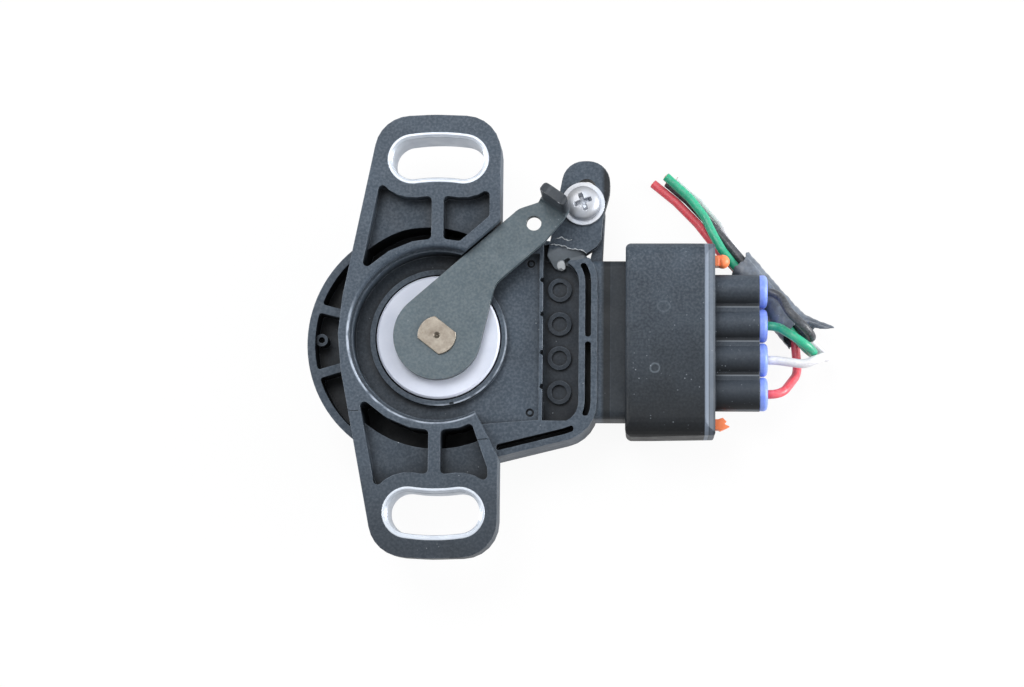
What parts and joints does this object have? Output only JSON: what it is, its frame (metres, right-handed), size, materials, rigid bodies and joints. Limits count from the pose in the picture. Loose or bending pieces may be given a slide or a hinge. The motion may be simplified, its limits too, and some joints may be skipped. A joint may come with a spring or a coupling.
{
  "type": "brake pedal sensor",
  "caption": "Rotary pedal-position sensor: drum body with two slotted ears, a sprung flat lever on a central shaft, and a seated wired plug with a cut stub of cable.",
  "frame": {"origin": "lever shaft axis where it crosses the plane of the ears' front face, midway between the two curved bolt slots", "axes": "+Z out of the ears' front face toward the lever's bent tab, +X toward the plug and wires, +Y toward the ear on the lever's resting side"},
  "size_m": [0.0843, 0.0708, 0.0245],
  "materials": {
    "black_housing_plastic": "glass-filled black moulding, fine satin",
    "bright_steel_sleeve": "zinc-plated, bright",
    "rear_cover_plastic": "black moulding, satin",
    "board_laminate": "green laminate with dark tracks",
    "tinned_terminal": "tinned brass",
    "bronze_bush": "sintered bronze",
    "seal_rubber": "black nitrile rubber",
    "spring_steel": "drawn spring wire",
    "zinc_hardware": "bright zinc plate",
    "coated_lever_steel": "dark grey-green coating over stamped steel",
    "shaft_steel": "warm nickel-plated steel",
    "white_nylon": "natural white nylon",
    "clip_steel": "phosphated steel",
    "holder_plastic": "natural acetal",
    "brush_alloy": "spring bronze",
    "plug_plastic": "black moulding, dusty satin",
    "orange_retainer_plastic": "orange moulding",
    "blue_gasket_rubber": "blue silicone",
    "contact_brass": "tinned brass",
    "blue_seal_rubber": "blue-violet silicone",
    "wire_black_pvc": "black insulation",
    "wire_green_pvc": "green insulation",
    "wire_white_pvc": "white insulation",
    "wire_red_pvc": "red insulation",
    "sleeve_tape": "grey-black vinyl"
  },
  "bodies": {
    "root": {"housing": "black_housing_plastic", "upper_sleeve": "bright_steel_sleeve", "lower_sleeve": "bright_steel_sleeve", "rear_cover": "rear_cover_plastic", "resistor_board": "board_laminate", "header_terminals": "tinned_terminal", "shaft_bush": "bronze_bush", "shaft_seal": "seal_rubber", "return_spring": "spring_steel", "stop_washer": "zinc_hardware", "stop_screw": "zinc_hardware", "stop_nut": "zinc_hardware", "plug_shell": "plug_plastic", "plug_retainer": "orange_retainer_plastic", "plug_gasket": "blue_gasket_rubber", "plug_contacts": "contact_brass", "wire_seals": "blue_seal_rubber", "wire_black": "wire_black_pvc", "wire_green": "wire_green_pvc", "wire_white": "wire_white_pvc", "wire_red": "wire_red_pvc", "wire_sleeve": "sleeve_tape"},
    "lever": {"lever": "coated_lever_steel", "shaft": "shaft_steel", "return_rotor": "white_nylon", "shaft_clip": "clip_steel", "brush_holder": "holder_plastic", "brushes": "brush_alloy"}
  },
  "joints": [
    {"name": "lever_swing", "type": "hinge", "parent": "root", "child": "lever", "pos_m": [0, 0, 0], "axis": [0, 0, -1], "range_deg": [0, 95], "stiffness_Nm_per_rad": 0.012, "springref_deg": -28.65}
  ]
}
